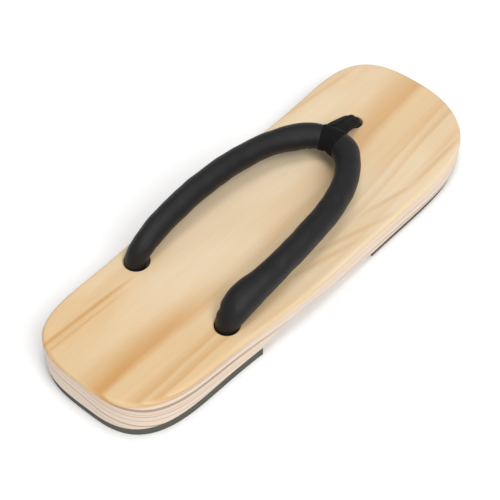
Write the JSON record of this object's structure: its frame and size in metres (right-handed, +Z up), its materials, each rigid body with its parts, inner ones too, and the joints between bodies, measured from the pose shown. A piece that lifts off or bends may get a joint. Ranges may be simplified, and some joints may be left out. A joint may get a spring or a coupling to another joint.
{
  "type": "geta sandal",
  "caption": "Low wooden thong sandal for the right foot: dished board with an arched underside on rubber pads, padded cloth strap in a V and a folded thong at the toe.",
  "frame": {"origin": "on the floor under the middle of the board's outline", "axes": "+Z up, +Y from heel to toe, +X to the outer side of the right foot"},
  "size_m": [0.0876, 0.2507, 0.0376],
  "materials": {
    "wood": "smooth satin pine with streaks along the board",
    "pad_rubber": "matt dark grey rubber",
    "strap_cloth": "matt black padded cloth with a soft sheen",
    "thong_cloth": "matt black folded cloth"
  },
  "bodies": {
    "root": {"base": "wood", "heel_pad": "pad_rubber", "forefoot_pad": "pad_rubber", "strap": "strap_cloth", "toe_thong": "thong_cloth"}
  },
  "joints": []
}
